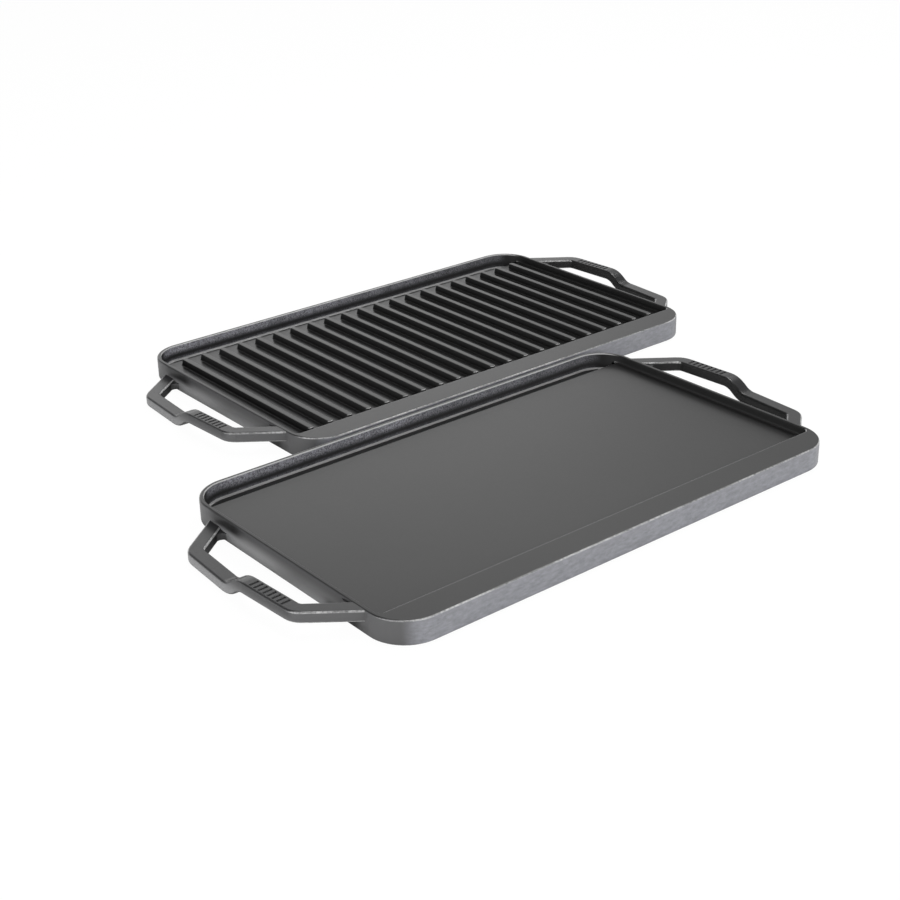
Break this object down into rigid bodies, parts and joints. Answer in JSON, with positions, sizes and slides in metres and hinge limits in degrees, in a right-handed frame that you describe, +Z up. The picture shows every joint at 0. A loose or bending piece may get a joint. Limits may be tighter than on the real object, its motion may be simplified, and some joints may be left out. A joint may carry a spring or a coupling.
{
  "type": "reversible camp griddle plate pair",
  "caption": "Cast iron reversible griddle plates for a camp stove or fire: flat cooking face on one side, ribbed face on the other, raised rim, grease gutter and a stepped loop handle at each end.",
  "frame": {"origin": "on the floor under the middle of the pair, at the middle of its bounding box", "axes": "+X along the length of the plates, from handle to handle; +Y from the flat-side-up plate in front to the ribbed-side-up plate behind; +Z up"},
  "size_m": [0.617, 0.512, 0.0185],
  "materials": {
    "seasoned_iron": "sand cast and oil seasoned, satin black"
  },
  "bodies": {
    "flat_plate": {"flat_side_plate": "seasoned_iron"},
    "ribbed_plate": {"ribbed_side_plate": "seasoned_iron"}
  },
  "joints": [
    {"name": "ribbed_plate_lift", "type": "slide", "parent": "flat_plate", "child": "ribbed_plate", "axis": [0, 0, 1], "range_m": [0, 0.15]}
  ]
}
